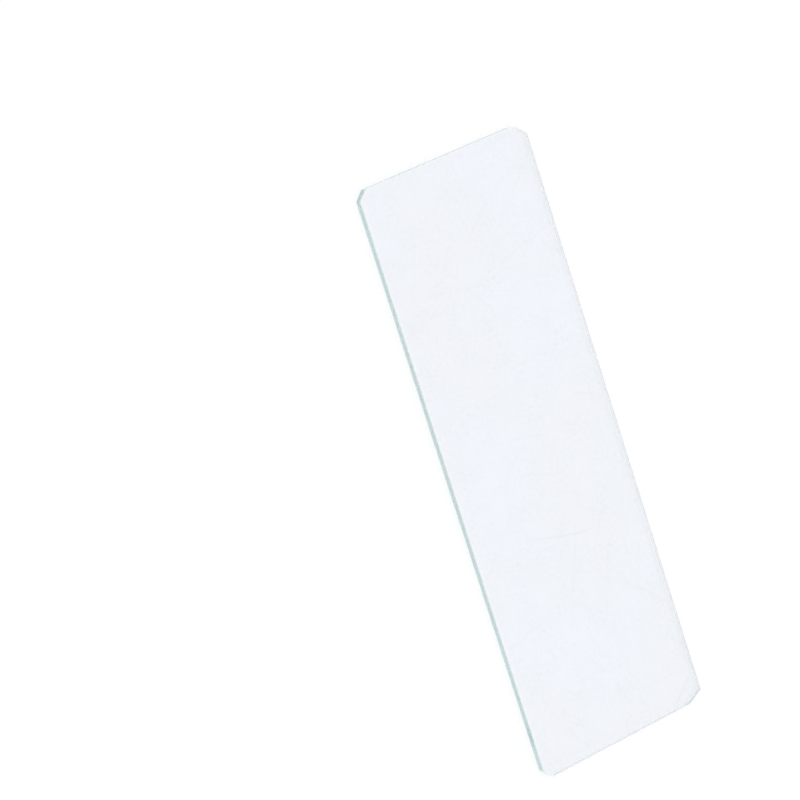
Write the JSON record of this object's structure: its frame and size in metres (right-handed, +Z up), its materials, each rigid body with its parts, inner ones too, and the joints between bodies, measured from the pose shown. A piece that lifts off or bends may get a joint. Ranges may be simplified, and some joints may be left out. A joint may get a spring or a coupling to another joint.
{
  "type": "microscope slide",
  "caption": "Plain glass microscope slide: a thin flat rectangular plate with clipped corners and ground edges, which carries a specimen under a microscope.",
  "frame": {"origin": "middle of the face that the slide lies on", "axes": "+X along the long edges, +Y across the slide, +Z up through its thickness"},
  "size_m": [0.0762, 0.0254, 0.0011],
  "materials": {
    "clear_glass": "polished faces, finely ground edges"
  },
  "bodies": {
    "root": {"glass_slide": "clear_glass"}
  },
  "joints": []
}
